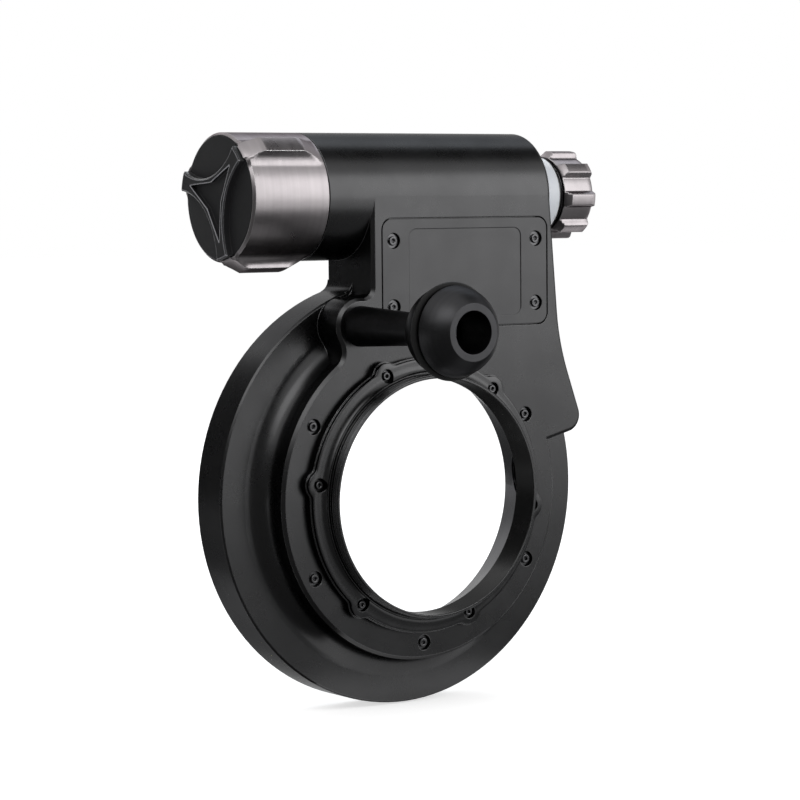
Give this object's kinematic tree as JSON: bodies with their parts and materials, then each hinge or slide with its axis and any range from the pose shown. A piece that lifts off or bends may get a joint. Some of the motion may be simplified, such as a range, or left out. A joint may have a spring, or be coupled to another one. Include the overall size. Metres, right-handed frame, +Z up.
{
  "type": "macro ring light",
  "caption": "Ring light head with a lens bore, a neck and a battery tube, a screw cap, a fluted knob and a ball on a stalk.",
  "frame": {"origin": "on the lens bore's axis, in the plane of the hub's rear face", "axes": "+Y along the lens axis towards the lit side, +X along the battery tube towards the knob, +Z up from the ring to the tube"},
  "size_m": [0.1298, 0.0936, 0.1658],
  "materials": {
    "black_anodised": "satin",
    "silver_anodised": "satin",
    "satin_liner": "satin",
    "dark_screw": "satin",
    "bright_steel": "satin",
    "contact_brass": "satin",
    "black_rubber": "matte",
    "frosted_window": "matte",
    "frosted_ring": "satin",
    "white_board": "matte",
    "green_board": "satin",
    "chip_black": "matte",
    "cool_chip": "gloss",
    "warm_chip": "gloss",
    "wire_red": "satin",
    "cell_wrap": "gloss"
  },
  "bodies": {
    "housing": {"ball_screw": "bright_steel", "ball_seal": "black_rubber", "ball_stalk": "black_anodised", "battery_cell": "cell_wrap", "battery_lead": "wire_red", "bezel_ring": "black_anodised", "board_screws": "bright_steel", "bore_liner": "satin_liner", "collar": "black_anodised", "contact_board": "green_board", "cool_leds": "cool_chip", "cover_gasket": "black_rubber", "cover_plate": "black_anodised", "cover_screws": "dark_screw", "driver_board": "green_board", "driver_parts": "chip_black", "encoder_body": "bright_steel", "encoder_lead": "wire_red", "front_window": "frosted_window", "housing": "black_anodised", "housing_screws": "dark_screw", "led_board": "white_board", "led_leads": "wire_red", "light_ring": "frosted_ring", "mount_ring": "black_anodised", "mount_ring_screws": "dark_screw", "positive_contact": "contact_brass", "shaft_seal": "black_rubber", "status_board": "green_board", "status_leds": "cool_chip", "warm_leds": "warm_chip", "window_inner_seal": "black_rubber", "window_outer_seal": "black_rubber"},
    "encoder_rotor": {"encoder_rotor": "bright_steel"},
    "knob": {"knob": "silver_anodised", "knob_shaft": "dark_screw"},
    "cap_seals": {"cap_seals": "black_rubber"},
    "cap": {"cap_sleeve": "silver_anodised", "cap_end": "black_anodised", "cap_contact": "contact_brass", "cap_spring": "bright_steel"}
  },
  "joints": [
    {"name": "knob_turn", "type": "hinge", "parent": "housing", "child": "encoder_rotor", "pos_m": [0, 0.0183, 0.08587], "axis": [1, 0, 0], "continuous": true},
    {"name": "knob_push", "type": "slide", "parent": "encoder_rotor", "child": "knob", "axis": [-1, 0, 0], "range_m": [0, 0.0008], "stiffness_N_per_m": 400},
    {"name": "cap_travel", "type": "slide", "parent": "housing", "child": "cap_seals", "axis": [-1, 0, 0], "range_m": [0, 0.0121]},
    {"name": "cap_turn", "type": "hinge", "parent": "cap_seals", "child": "cap", "pos_m": [0, 0.0183, 0.08587], "axis": [-1, 0, 0], "range_deg": [0, 2160]}
  ],
  "couplings": [
    {"joint": "cap_travel", "follows": "cap_turn", "m_per_rad": 0.00031831}
  ]
}
